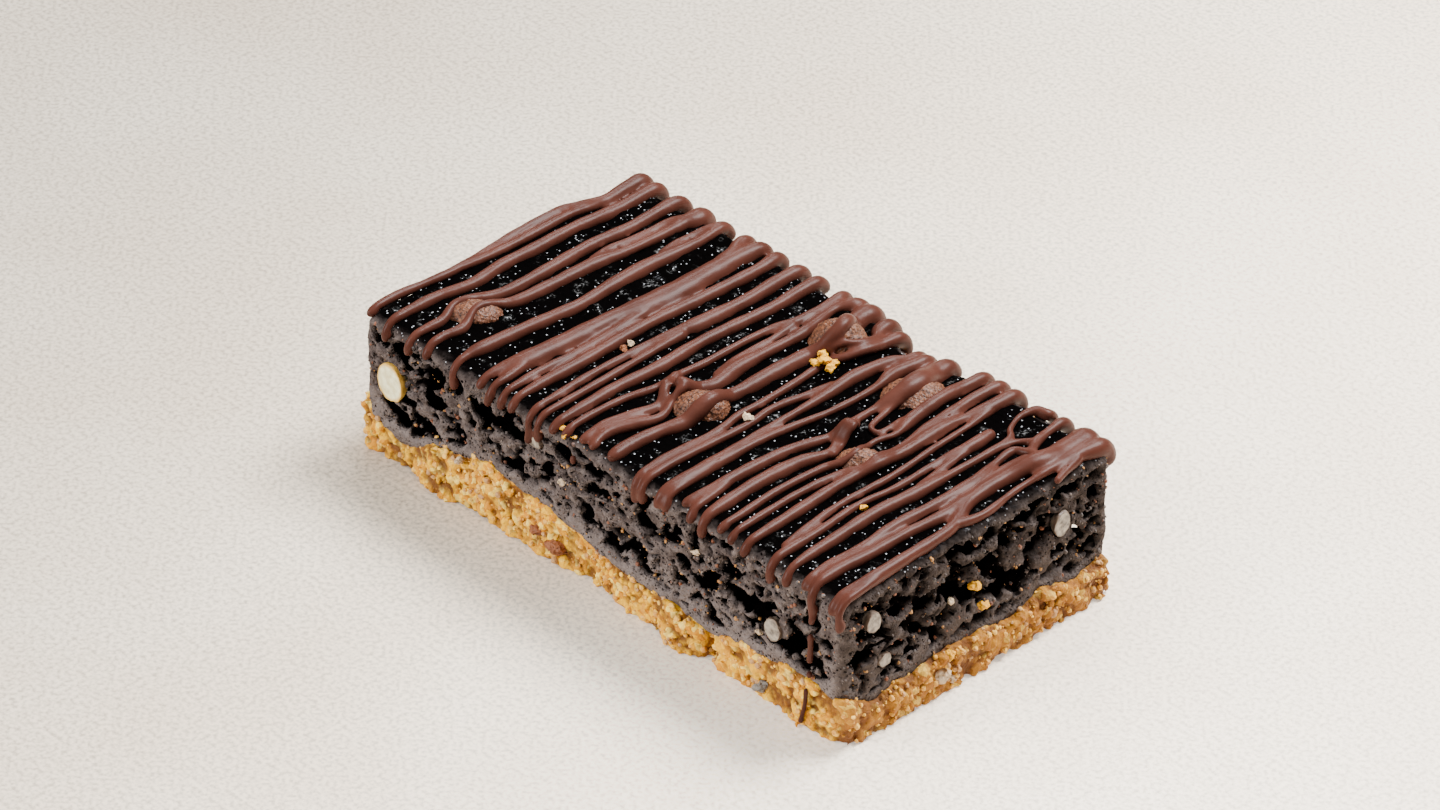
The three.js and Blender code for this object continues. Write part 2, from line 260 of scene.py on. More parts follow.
def settled(maker, name):
    """The object's evaluated shape as a plain mesh object of that name, which replaces it."""
    ready = maker.evaluated_get(bpy.context.evaluated_depsgraph_get())
    mesh = bpy.data.meshes.new_from_object(ready)
    old = maker.data
    bpy.data.objects.remove(maker)
    if old.users == 0 and isinstance(old, bpy.types.Mesh):
        bpy.data.meshes.remove(old)
    mesh.name = name
    return new_object(name, mesh)


def thinned(piece, most):
    """The piece with its flattest faces joined, so that it has at most that many triangles."""
    piece.data.calc_loop_triangles()
    count = len(piece.data.loop_triangles)
    if count <= most:
        return piece
    thin = piece.modifiers.new("thin", "DECIMATE")
    thin.ratio = most / count
    return settled(piece, piece.name)


def rounded(first, second, radius):
    """Distance in from two faces that meet in a rounded edge."""
    short_first = (radius - first).most(0)
    short_second = (radius - second).most(0)
    corner = radius - (short_first * short_first + short_second * short_second) ** 0.5
    return corner + (first.least(second) - radius).most(0)


def seam_height(bench, x, y):
    length = BASE["right"] - BASE["left"]
    width = BASE["back"] - BASE["front"]
    along_x = (x - BASE["left"]) / length
    along_y = (y - BASE["front"]) / width
    front = bench.along(FRONT_SEAM, along_x)
    back = bench.along(FRONT_SEAM[::-1], along_x)
    sides = front + (back - front) * along_y.step(0, 1, smooth=False)
    end = bench.along(END_SEAM, along_y)
    return sides + (end - sides) * x.step(BASE["right"] - 9, BASE["right"] - 2)


def solid_from(bench, inside, low, high, voxel):
    """A closed mesh round the places where the inside distance is over 0, without loose scraps."""
    density = inside / (voxel * 3) + 0.5
    steps = (bench.wire(high) - low) / voxel
    across, deep, tall = steps.axes()
    volume = bench.node("GeometryNodeVolumeCube", {
        "Density": density.most(0).least(1), "Min": low, "Max": high, "Resolution X": across,
        "Resolution Y": deep, "Resolution Z": tall,
    })
    mesh = bench.node("GeometryNodeVolumeToMesh", {"Volume": volume, "Threshold": 0.5})
    island = bench.node("GeometryNodeInputMeshIsland", {})
    total = bench.node(
        "GeometryNodeAccumulateField", {"Value": 1.0, "Group Index": island}, output="Total"
    )
    largest = bench.node(
        "GeometryNodeAttributeStatistic", {"Geometry": mesh, "Attribute": total}, output="Max"
    )
    scrap = bench.node(
        "FunctionNodeCompare", {"A": total, "B": largest - 0.5}, {"operation": "LESS_THAN"}
    )
    return bench.node("GeometryNodeDeleteGeometry", {"Geometry": mesh, "Selection": scrap})


def keep(bench, shape, name, value):
    """The shape with a number stored at each of its points."""
    return bench.node(
        "GeometryNodeStoreNamedAttribute", {"Geometry": shape, "Name": name, "Value": value}
    )


# Brownie cake

# Large pockets in the cut sides: place along the side, height, length and width
POCKETS_FRONT = [
    (-34.5, 16, 7, 2.6), (-35.5, 9.3, 7, 3), (-44, 9.6, 4.6, 1.7), (-44.5, 20, 3.6, 2),
    (-20.5, 17, 2.6, 1.8), (-0.7, 19.8, 4, 2.3), (-0.8, 16.6, 3.6, 2.6), (-9.5, 15.4, 2.2, 3.2),
    (9.4, 16.2, 3.2, 2), (7.6, 11, 4.2, 3), (14, 17.4, 2.4, 2.8), (17, 11, 4, 2),
    (26.8, 17.8, 4, 3), (29, 14.2, 5, 3.8), (39, 14.4, 4, 3.4), (41, 9, 3, 2.4),
]
POCKETS_END = [
    (3, 16, 5.4, 4), (7, 11.4, 8.6, 3.6), (-1.2, 12.8, 3.8, 3), (-19, 16, 4, 2.8),
    (-22, 12.6, 4.6, 3), (-14, 16.6, 3.4, 2), (13, 17, 3.4, 3), (19, 10, 3, 3),
    (23, 9.4, 3.8, 2.8), (-7.6, 8.8, 2.6, 2.8), (-4, 21, 3, 3),
]
# Chocolate chunks: x, y, length, width, rise over the crust, turn. Swellings: x, y, radius, rise.
CHUNKS = [
    (4.1, 17.4, 9.4, 7.6, 3.9, 38), (2.3, -7.6, 9, 6.6, 2.7, 42), (20, 16.4, 10.5, 8.5, 1.9, 50),
    (26.4, -0.4, 8, 5.6, 1.9, 45), (-37.4, -14.6, 9.8, 6.4, 1.7, 42),
]
SWELLINGS = [(-2.2, -8, 2.4, 2.4), (21.2, 2.6, 2, 2.2), (43.6, 16, 3.6, 0.8)]
KNIFE_CREASE = {"x": 12.5, "z": 11, "reach": 6}
CHUNK_SUNK = 1.6
# Nut pieces: cut side, place along it, height, length, height and depth of the piece
NUTS = [
    ("front", -43, 13.8, 5.2, 6.2, 5), ("front", 35.2, 12.6, 3, 3.8, 3),
    ("front", -12.4, 19.2, 2.8, 1.8, 2.6), ("end", 16.6, 16, 3, 4, 3),
    ("end", -19.8, 18, 2.6, 3.4, 3), ("end", -17.6, 10.6, 2.4, 2, 2.4),
]
# Sets of pores: cell size, and least and most radius in cells. The widest keep to the middle.
PORES = [(4.4, -0.05, 0.66), (2.4, 0.1, 0.66), (1.25, 0.16, 0.64)]
PORE_DEPTH = 4.5
CAKE_VOXEL = 0.28


def hollow(place, centre, size):
    """Distance outside an ellipsoid of that size, near its surface."""
    reach = tuple(2 / s for s in size)
    return (((place - centre) * reach).length() - 1) * (min(size) / 2)


def cake_distances(bench, place):
    """How far a place is in from the cut sides, crust, seam and upright corners of the cake."""
    x, y, z = place.axes()
    waves = bench.noise(place, 7, 1) * 0.25 + bench.noise(place, 1.7, 3) * 0.35
    crease = x.hill(KNIFE_CREASE["x"], 0.7) * z.hill(KNIFE_CREASE["z"], KNIFE_CREASE["reach"])
    waves = waves - crease * (y - CAKE["front"]).step(1, 3, 0.8, 0)
    back = CAKE["back"] - x.hill(BACK_HOLLOW["x"], BACK_HOLLOW["half_width"]) * BACK_HOLLOW["depth"]
    in_x = (x - CAKE["left"]).least(CAKE["right"] - x)
    in_y = (y - CAKE["front"]).least(back - y)
    sides = rounded(in_x, in_y, CORNER_RADIUS) + waves
    flat = bench.vector(x, y, 0.0)
    blister, _ = bench.cells(bench.warp(flat, 3, 0.8), 1.9)
    crust = bench.noise(flat, 13, 1) * 0.2 + bench.noise(flat, 2.4, 3) * 0.25
    crust = crust + (0.4 - blister) * 0.5 + CAKE["top"]
    return sides, crust - z, z - seam_height(bench, x, y), in_x.most(in_y)


def bubbles(bench, place, grain, least, most, share):
    """Distance outside a scatter of bubbles, flattened as the crumb is, in cells of one grain."""
    distance, colour = bench.cells(place * (0.78, 0.78, 1.15), grain)
    radius = colour.axes()[0].step(0, 1, least, most, smooth=False) * share
    return (distance - radius) * grain


def make_cake(material):
    bench, sizes = new_tree("brownie crumb", ["Voxel", "Crumb size"])
    place = bench.place()
    sides, under_crust, over_seam, from_corner = cake_distances(bench, place)
    loose = bench.warp(bench.warp(place, 4.5, 1.3), 1.3, 0.45)
    fine = under_crust.step(0.6, 2) * from_corner.step(0.8, 2.4) * over_seam.step(0.4, 1.6)
    crumb = fine * from_corner.step(2.5, 5.5) * over_seam.step(0.6, 3.4)
    body = rounded(sides, under_crust, EDGE_RADIUS)
    size = sizes["Crumb size"]
    wide, middling, narrow = PORES
    pores = bubbles(bench, loose, size * wide[0], *wide[1:], crumb)
    for start, (grain, *radii) in (((31, 7, 3), middling), ((3, 51, 9), narrow)):
        pores = pores.least(bubbles(bench, loose + start, size * grain, *radii, fine))
    for along, up, long, high in POCKETS_FRONT:
        pocket = hollow(loose, (along, CAKE["front"], up), (long, 1.5 * high, high))
        pores = pores.least(pocket)
    for along, up, long, high in POCKETS_END:
        pocket = hollow(loose, (CAKE["right"], along, up), (1.5 * high, long, high))
        pores = pores.least(pocket)
    for side, along, up, long, high, _ in NUTS:
        centre = (along, CAKE["front"], up) if side == "front" else (CAKE["right"], along, up)
        round_it = (long + 0.4, 3, high + 0.4) if side == "front" else (3, long + 0.4, high + 0.4)
        pores = pores.least(hollow(place, centre, round_it))
    skin_only = pores.most(body - PORE_DEPTH)
    inside = body.least(over_seam + 0.4).least(skin_only)
    low = (CAKE["left"] - 1.5, CAKE["front"] - 1.5, 3)
    high = (CAKE["right"] + 1.5, CAKE["back"] + 1.5, CAKE["top"] + 2)
    shape = solid_from(bench, inside, low, high, sizes["Voxel"])
    shape = keep(bench, shape, "crust", under_crust.step(0.3, 1.2, 1, 0))
    shape = keep(bench, shape, "pit", body)
    cake = grow("cake_crumb", bench, shape, {"Voxel": CAKE_VOXEL, "Crumb size": 1}, material)
    return thinned(cake, MOST_TRIANGLES["cake"])


def set_down(bench, shape, sizes):
    """The shape turned about Z and put at X, Y and Z, all as the tree's sizes say."""
    return bench.node("GeometryNodeTransform", {
        "Geometry": shape,
        "Rotation": bench.vector(0.0, 0.0, sizes["Turn"]),
        "Translation": bench.vector(sizes["X"], sizes["Y"], sizes["Z"]),
    })


def make_nut(number, material):
    """A piece of nut, cut off flat by the knife: across, out of the cut side and up."""
    side, along, up, long, high, deep = NUTS[number]
    spot = (along, CAKE["front"]) if side == "front" else (CAKE["right"], along)
    numbers = {
        "Long": long, "Deep": deep, "High": high, "X": spot[0], "Y": spot[1], "Z": up,
        "Turn": 0 if side == "front" else math.pi / 2,
    }
    bench, sizes = new_tree("nut piece", numbers)
    ball = bench.ball(1.0, 5)
    place = bench.place()
    x, y, z = place.axes()
    uneven = bench.noise(place + (number * 7, 0, 0), 0.9, 2) * (0.18 if number else 0.09) + 1
    x, y, z = [
        axis * uneven * (sizes[size] / 2) for axis, size in ((x, "Long"), (y, "Deep"), (z, "High"))
    ]
    chipped = bench.noise(bench.vector(x, z, number * 3), 1.2, 2) * 0.12 - 0.25
    marked = keep(bench, ball, "skin", (place * (1, 0, 1)).length())
    flat = bench.vector(x, y.most(chipped), z)
    cut = bench.moved(marked, Position=flat)
    return grow(f"nut_{number + 1}", bench, set_down(bench, cut, sizes), numbers, material)


def make_chunk(number, material):
    """A domed chocolate chunk, grainy all over, sunk into the crust."""
    x, y, length, width, rise, turn = CHUNKS[number]
    numbers = {
        "Length": length, "Width": width, "Height": rise + CHUNK_SUNK, "X": x, "Y": y,
        "Z": CAKE["top"] - CHUNK_SUNK, "Turn": math.radians(turn),
    }
    bench, sizes = new_tree("chocolate chunk", numbers)
    ball = bench.ball(1.0, 6)
    place = bench.place()
    size = bench.vector(sizes["Length"] / 2, sizes["Width"] / 2, sizes["Height"])
    dome = set_down(bench, bench.moved(ball, Position=place * size), sizes)
    grains, _ = bench.cells(place, 0.42)
    coarse, _ = bench.cells(place, 1.3)
    relief = (0.45 - grains) * 0.22 + (0.45 - coarse) * 0.2 + bench.noise(place, 3, 2) * 0.25
    normal = bench.node("GeometryNodeInputNormal", {})
    rough = bench.moved(dome, Offset=normal * relief)
    return grow(f"chunk_{number + 1}", bench, rough, numbers, material)


# Biscuit base

# Kinds of pressed crumb: size, and how far it stands out
BISCUIT_CRUMBS = [(2.6, 1.1), (1.2, 0.8), (0.7, 0.5)]
BISCUIT_VOXEL = 0.25


def make_biscuit(material):
    bench, sizes = new_tree("pressed biscuit", ["Voxel", "Grain"])
    place = bench.place()
    x, y, z = place.axes()
    front = BASE["front"]
    for centre, reach, half_width in FRONT_LEDGES:
        front = x.hill(centre, half_width) * -reach + front
    in_x = (x - BASE["left"]).least(BASE["right"] - x)
    in_y = (y - front).least(BASE["back"] - y)
    outline = rounded(in_x, in_y, 1.2)
    loose = bench.warp(place, 2.2, 0.5)
    grain = sizes["Grain"]
    lumps = bench.noise(place, 5.5, 2) * 0.35
    for share, reach in BISCUIT_CRUMBS:
        distance, _ = bench.cells(loose + (share * 9, 0, 0), grain * share)
        lumps = (0.5 - distance) * reach + lumps
    holes = bench.noise(place, 2.4, 2).step(0.95, 1.5, 0, 0.9)
    lumps = (lumps - holes) * outline.step(3, 6, 1, 0)
    top = seam_height(bench, x, y) + 0.2 - z + lumps * 0.6
    under = z + lumps.least(0) * 0.6
    inside = rounded(outline + lumps - 0.3, top, 0.8).least(under)
    low = (BASE["left"] - 3, BASE["front"] - 4, -0.6)
    high = (BASE["right"] + 3, BASE["back"] + 3, 13)
    shape = solid_from(bench, inside, low, high, sizes["Voxel"])
    # The relief is kept so that the hollows between crumbs can be painted dark: painted shade.
    shape = keep(bench, shape, "gap_shade", lumps)
    biscuit = grow("biscuit", bench, shape, {"Voxel": BISCUIT_VOXEL, "Grain": 1}, material)
    return thinned(biscuit, MOST_TRIANGLES["biscuit"])


def scatter(name, source, chosen, crumb, seed, numbers, material):
    """Small uneven crumbs stuck to the chosen faces of a piece, as a piece of their own.

    The numbers are the least and most radius and how many there are on a square millimetre.
    """
    bench, sizes = new_tree(name, numbers)
    ground = bench.node(
        "GeometryNodeTransform", {"Geometry": sizes["Geometry"], "Scale": (1000, 1000, 1000)}
    )
    spots = bench.node("GeometryNodeDistributePointsOnFaces", {
        "Mesh": ground, "Selection": chosen(bench), "Density": sizes["Density"], "Seed": seed,
    })
    ball = bench.ball(1.0, 2)
    radius = bench.node("FunctionNodeRandomValue", {"Seed": 3}, output="Value")
    size = sizes["Least"] + (radius**2.5) * (sizes["Most"] - sizes["Least"])
    crumbs = bench.node(
        "GeometryNodeInstanceOnPoints",
        {"Points": spots, "Instance": ball, "Scale": bench.vector(size, size * 0.8, size * 0.9)},
    )
    whole = bench.node("GeometryNodeRealizeInstances", {"Geometry": crumbs})
    place = bench.place()
    push = bench.noise(place, crumb, 1, output="Color") - (0.5, 0.5, 0.5)
    rough = bench.moved(whole, Offset=push * (crumb * 0.9))
    made = grow(name, bench, rough, numbers, material, source.data.copy())
    return thinned(made, MOST_TRIANGLES["crumbs"])


# Drizzle

# Strands of drizzle, each as places along it: how far from the left and from the back, and its
# width. The ruler's zero is 52 mm left of the bar's middle and 30 mm behind it.
RULER = (-52, 30)
STRANDS = [
    [(5.8, 3, 2.8), (6.2, 8, 2.3), (6.5, 12, 2.2), (5, 15, 1.5), (3.7, 19, 1.3), (3.9, 28, 1.1),
     (4.6, 36, 1), (5, 40, 1.3), (4.6, 45, 1.2), (4.1, 50, 1.3), (4.3, 55, 1)],
    [(6.5, 13, 1.6), (5.6, 18, 1.3), (5.7, 24, 1.4), (5.7, 32, 1.3), (5.1, 39, 1.1)],
    [(9, 3, 2.4), (9.2, 8, 2.2), (9.4, 12, 2.1), (8.7, 20, 2), (8.8, 28, 2), (8.7, 34, 2),
     (9.4, 40, 1.8), (8.4, 46, 1.8), (8.3, 51, 1.5), (8.4, 57, 0.9)],
    [(14, 3, 2.6), (13.9, 7, 2.2), (14.3, 14, 2), (13.7, 21, 2), (14.1, 30, 2), (14.2, 38, 1.8),
     (12.8, 42.5, 1.6), (11.9, 45.5, 1.1), (13.3, 49, 1.4), (13.4, 52, 1.3), (13.2, 57, 0.9)],
    [(18.8, 3.4, 3.4), (18.8, 6.5, 2.8), (17.1, 9, 1.3), (16.9, 15, 1.2), (16.3, 20, 1.2),
     (17.2, 24, 2)],
    [(18.8, 6.5, 2.2), (18.8, 12, 1.5), (18.4, 19, 1.6), (17.6, 24, 2.2), (17.4, 32, 2.1),
     (17, 38.5, 1.8), (15.4, 42, 1.4), (15, 44.5, 1.1), (16.8, 48.5, 1.4), (16.5, 52, 1.4),
     (16.9, 56, 1)],
    [(23.1, 4, 2), (22.1, 7, 1.2), (21.9, 12, 1.1), (22.7, 15.5, 1.6)],
    [(23.4, 5, 1.8), (23.8, 9, 1.5), (23.6, 14, 2), (23.2, 19, 2.5), (23.4, 26, 2.2),
     (23.9, 33, 2), (23, 42, 2.1), (22.4, 50, 2.1), (22.4, 53, 1.3), (22.9, 58, 0.8)],
    [(28.1, 5, 1.9), (29.4, 8, 2.4), (30.4, 12, 3)],
    [(31, 4, 2.8), (30.6, 8, 3.2), (30.6, 14, 3.6), (30.8, 20, 4.3), (30.5, 26, 4.2),
     (29.7, 32, 3.1), (29.4, 40, 3.4), (28.9, 47, 3.4), (28.2, 51, 1.9), (28, 55.5, 1)],
    [(31.6, 26.5, 1.6), (32, 32, 1.2), (32.5, 40, 1.2), (32.3, 47, 1.3), (32.5, 52, 1.2),
     (32.7, 56.5, 0.8)],
    [(29.4, 48, 2), (30.2, 52, 1.3), (30.3, 56.5, 0.9)],
    [(34.4, 4, 2.6), (34.9, 8, 1.9), (34.7, 18, 2), (34.2, 26, 1.9), (34.1, 32, 1.8),
     (34.6, 42, 1.9), (34.6, 49, 1.7), (34.9, 56, 1)],
    [(39, 3, 2.5), (39, 8, 2.2), (39.4, 15, 2.1), (39, 24, 2.5), (38.3, 29, 1.6),
     (37.9, 34, 1.2), (37.8, 42, 1.2), (38.2, 49, 1.2), (38.7, 59, 0.8)],
    [(39.3, 27, 1.7), (39.6, 34, 1.1), (40, 43, 1.2), (40.2, 50, 1.1), (40.4, 58, 0.8)],
    [(42.9, 3.4, 2.4), (43, 8, 2), (43.3, 14, 1.9), (42.6, 26, 1.9), (43, 35, 2),
     (42.6, 43, 1.8), (42.9, 50, 1.7), (43.1, 55.5, 1)],
    [(47.7, 2.6, 2), (48.2, 7, 1.4), (48.3, 13, 1.6), (47.2, 17, 1.3), (46.7, 22, 1.1),
     (46.7, 30, 1.1), (46.3, 34.5, 1.2), (46.4, 39, 1.1), (45.3, 44, 1.1), (45, 50, 1.1),
     (45.3, 55, 0.9)],
    [(48.4, 14, 1.8), (48.9, 18, 1), (49, 24, 1), (49.5, 28, 1.3), (50.4, 31, 1.6)],
    [(51, 3.4, 2.8), (49.7, 7, 1.3), (50.4, 12, 1.6), (50.9, 16, 1.7), (50.7, 23, 1.7),
     (50.7, 28, 2.4), (51.5, 32.5, 2.4), (50.2, 35.5, 2.2), (48.4, 36.5, 1.6)],
    [(46.2, 34.5, 1.6), (47.6, 38, 1.6), (49.8, 41.5, 1.3), (49.2, 46, 1.9), (48.4, 50, 2),
     (48.5, 54.5, 1.2)],
    [(49.4, 35.8, 1.4), (50.6, 39.5, 1), (52, 43.5, 1.3), (50.6, 47.5, 1.7), (49.6, 51, 1.7),
     (50.4, 54.5, 0.9)],
    [(53.6, 5.6, 3.4), (54.3, 9, 2.8), (55.7, 14.5, 2), (55.2, 19, 2.7), (55, 25, 2.5),
     (55.1, 31, 2.2), (54.5, 36, 2.3), (55.2, 41.5, 2.4), (54.3, 46.5, 2), (54, 51, 2.1),
     (54.3, 54.5, 1.9)],
    [(57.8, 6, 2.4), (59, 8.5, 1), (58.4, 12, 1), (56.2, 16.5, 1.1)],
    [(60.9, 5.8, 2.2), (60.5, 9.5, 1.6), (59.6, 14, 1.3), (58.4, 17.6, 1.2), (58.9, 24, 1.1),
     (59.2, 31, 1.1), (59.2, 35, 1.1), (60, 41, 1.2), (59.6, 50, 1.2), (60.2, 58, 0.8)],
    [(63, 20.5, 1.4), (62.2, 25, 1.1), (61.2, 30.8, 1.1), (61.7, 36, 1.1), (61.4, 43, 1.2),
     (61.1, 50, 1.2), (61.6, 57.5, 0.8)],
    [(65.9, 8.4, 1.6), (64.4, 11, 1.8), (63.5, 17, 2.2), (64, 23, 1.5), (64.2, 31, 1.1),
     (64.4, 38, 1.2), (65, 43, 2), (65.1, 51, 2.2), (64.8, 56.5, 1.1)],
    [(67.4, 8.2, 1.8), (66.8, 12.5, 2.2), (67.5, 17, 1.1), (67.3, 25, 1), (66.2, 32, 1.1),
     (65.5, 38, 1.3), (65.5, 45, 1.5), (65.8, 51, 1.3), (66.2, 56.5, 0.8)],
    [(70.6, 8.2, 3.2), (70.9, 12, 3.6), (71.3, 17, 2.6), (71.1, 21, 1.1), (71.2, 25, 1.2),
     (71.6, 29.5, 1.2), (70, 36, 1.7), (69.4, 43, 1.8), (69.3, 49, 1.7), (68.9, 54.5, 1)],
    [(71.9, 16.5, 1.6), (72.8, 20.5, 0.9), (73.7, 23.8, 0.8), (75.4, 24.2, 0.8), (75.7, 22, 0.8),
     (75.6, 19.5, 1.1)],
    [(76, 6, 2.1), (75.7, 11, 2), (76.2, 18, 2), (77.3, 22.5, 0.9), (76.6, 26, 0.9),
     (77.2, 32, 1), (76.1, 36, 1.2), (75.7, 44, 1.1), (76.2, 51, 1.2), (76.3, 55, 0.9)],
    [(71, 24.5, 1.2), (72.6, 29, 0.9), (74.2, 32.5, 1.3), (73, 37, 2.1), (72.5, 44, 2.1),
     (72.9, 51, 1.9), (73.4, 57, 0.9)],
    [(71.8, 24.6, 1), (73.6, 28.5, 0.9), (74.9, 32.5, 1)],
    [(69.7, 47, 1.2), (70.3, 51, 1.2), (70.9, 56, 0.9)],
    [(79, 3.6, 2), (78.8, 9, 1.8), (79.2, 14, 1.9), (79.4, 19, 1.5), (79.9, 24, 0.9),
     (79.7, 28, 0.9), (79.9, 31.5, 0.9), (78.7, 35, 1.1), (78.1, 42, 1.1), (78.3, 50, 1.1),
     (78.6, 55.5, 0.8)],
    [(82, 3.6, 2.2), (81.8, 9, 2.1), (81.1, 14, 1.3), (80.8, 18, 2.1), (81.1, 25, 1.7),
     (80.4, 35, 1.6), (80.8, 43, 1.7), (81.2, 50, 1.6), (81.4, 56, 0.9)],
    [(82.3, 9, 1.4), (82.9, 14, 0.9), (83.3, 21, 0.9), (84, 30, 1), (83.8, 40, 1),
     (84.8, 48, 1.1), (85.6, 52, 1.2)],
    [(88.2, 3.8, 1.6), (86.7, 4.6, 1.4), (86.2, 7.4, 0.8), (87.4, 10.4, 0.8), (88.9, 12, 1),
     (89.3, 16, 1.1), (89.2, 24, 1.2), (89, 31, 2), (88.5, 38, 1.9), (89, 47, 1.8),
     (89.2, 51, 1.4), (89.7, 56.5, 0.9)],
    [(86.3, 12.9, 1.7), (86.5, 18, 1.8), (86, 23, 1), (86.3, 31, 1), (85.6, 38, 1),
     (86.2, 46, 1.2), (86.4, 52, 1.4), (86.7, 57.5, 0.9)],
    [(86.9, 18.5, 1.2), (87.7, 25, 0.9), (88.5, 29.5, 1.2)],
    [(91.1, 3.4, 1.9), (91.4, 7, 1.2), (92, 10, 1.4), (93.5, 12.4, 1.2), (95.2, 12.6, 1.4)],
    [(91.9, 10, 1.2), (90.2, 11.8, 0.9), (89.3, 14.5, 1)],
    [(93.4, 12.7, 1), (91.3, 13.9, 1.2), (91.7, 18, 1.1), (92.8, 23, 2), (92.8, 30, 1.7),
     (92.4, 38, 1.6), (92.9, 45, 1.4), (92.5, 51, 1.1), (92.9, 55.5, 0.8)],
    [(95.8, 4, 4.4), (96, 7.5, 4.2), (96, 11, 3.6), (95.2, 15.5, 2.6), (94.9, 22, 2.2),
     (95.5, 27, 1.9), (97, 30.2, 1.7), (98.2, 34, 1.6), (98.5, 42, 1.8), (98.7, 48.5, 1.8),
     (98.3, 53, 1), (98.4, 56.5, 0.8)],
    [(98.4, 4.4, 2.8), (98, 9, 2.2), (97.9, 14, 1.1), (97.9, 20, 0.9), (98.8, 27, 1.1),
     (98, 31.5, 1.4)],
    [(98.6, 8.5, 1.6), (99.5, 12, 1.1), (100.3, 14.6, 0.9)],
    [(94.2, 14, 1.6), (93.6, 19, 1.4), (94.6, 25, 1.4), (95.3, 31, 1.9), (94.7, 38, 1.5),
     (94.6, 45, 1.7), (94.2, 51, 1.7), (94.9, 58.5, 0.9)],
    [(92.9, 44, 1.2), (93.7, 47, 1.2), (94.3, 50, 1.4)],
    [(99, 47.5, 1.4), (99.6, 52, 1.1), (100, 58.5, 0.8)],
    [(47.8, 57.2, 1), (47.8, 57.9, 0.9)],
    [(23, 56.3, 0.9), (23, 57, 0.8)],
    [(30, 56.3, 1), (30.1, 57.2, 0.8)],
    [(95.2, 58.8, 1.2), (95.2, 59.5, 1)],
    [(95, 62, 0.8), (95, 64, 0.7), (94.9, 66.3, 0.9)],
    [(94.9, 68.2, 0.8), (94.8, 68.9, 0.8)],
    [(94.8, 70.8, 0.65), (94.6, 73.5, 0.6), (93.8, 76.8, 0.65)],
]
# Seen from the camera, a raised place shows this far along X and Y from where it lies, for each
# millimetre of its height. The routes are places as they show on the crust.
SIGHT = (1.03, -0.99)
STRAND_FULLNESS = 1.04
STRAND_HEIGHT = 1.6
BEAD_SPACING = 0.25
# A strand that ends between these distances from the back ends in a drop
DRIP_FROM = 53.5
DRIP_TO = 60
DROP_RADIUS = 0.75
DROP_LENGTH = 2.4
BACK_OVERHANG = 1.1
# A strand that starts this near the back edge runs on over it, by a length drawn between these
BACK_START = 3.2
BACK_REACH = (2, 3.4)
# How far a strand that runs down a side leans in, and between which depths below the edge
LEANS = [(0.4, 1, 3), (0.6, 12, 14)]
# Share of a chunk's rise by which its strands are moved to show at their places
RISE_SHARE = 0.55


def smooth_share(value, low, high):
    share = min(max((value - low) / (high - low), 0), 1)
    return share * share * (3 - 2 * share)


def cake_back(x):
    hollow_here = 1 - smooth_share(abs(x - BACK_HOLLOW["x"]), 0, BACK_HOLLOW["half_width"])
    return CAKE["back"] - BACK_HOLLOW["depth"] * hollow_here


def lift(x, y):
    """How far a chunk or a swelling raises the drizzle above the crust."""
    highest = 0
    for chunk_x, chunk_y, length, width, rise, turn in CHUNKS:
        angle = math.radians(turn)
        aside, ahead = x - chunk_x, y - chunk_y
        along = (aside * math.cos(angle) + ahead * math.sin(angle)) / (length / 2)
        across = (ahead * math.cos(angle) - aside * math.sin(angle)) / (width / 2)
        away = math.hypot(along, across)
        highest = max(highest, (rise - 0.5) * (1 - smooth_share(away, 0.1, 1.35)))
    for swelling_x, swelling_y, radius, rise in SWELLINGS:
        away = math.hypot(x - swelling_x, y - swelling_y)
        highest = max(highest, rise * (1 - smooth_share(away, 0, radius * 1.5)))
    return highest


def true_place(seen_x, seen_y):
    """About where a place lies that is seen there on the crust, raised by what is under it."""
    x, y = seen_x, seen_y
    for _ in range(6):
        rise = lift(x, y) * RISE_SHARE
        x, y = seen_x + SIGHT[0] * rise, seen_y + SIGHT[1] * rise
    return x, y


def on_skin(x, across, height):
    """Place at a height above the cake's skin; across is measured over the bar and its edges."""
    side = -1 if across < 0 else 1
    edge = (cake_back(x) + BACK_OVERHANG if side > 0 else -CAKE["front"]) - EDGE_RADIUS
    past = abs(across) - edge
    angle = min(max(past / EDGE_RADIUS, 0), math.pi / 2)
    down = max(0, past - EDGE_RADIUS * math.pi / 2)
    y = side * (min(abs(across), edge) + EDGE_RADIUS * math.sin(angle))
    y -= sum(lean * smooth_share(down, start, end) for lean, start, end in LEANS)
    z = CAKE["top"] - EDGE_RADIUS * (1 - math.cos(angle)) - down
    out = Vector((0, side * math.sin(angle), math.cos(angle)))
    return Vector((x, y, z)) + out * (height + lift(x, y))


def smooth_route(places, spacing):
    """Points at about that spacing on a smooth curve through the places."""
    ends = [places[0], *places, places[-1]]
    route = []
    for before, start, end, after in zip(ends, ends[1:], ends[2:], ends[3:]):
        count = max(2, round(math.hypot(end[0] - start[0], end[1] - start[1]) / spacing))
        for i in range(count):
            t = i / count
            route.append(tuple(
                0.5 * (2 * b + (c - a) * t + (2 * a - 5 * b + 4 * c - d) * t**2
                       + (3 * b - a - 3 * c + d) * t**3)
                for a, b, c, d in zip(before, start, end, after)
            ))
    return [*route, places[-1]]


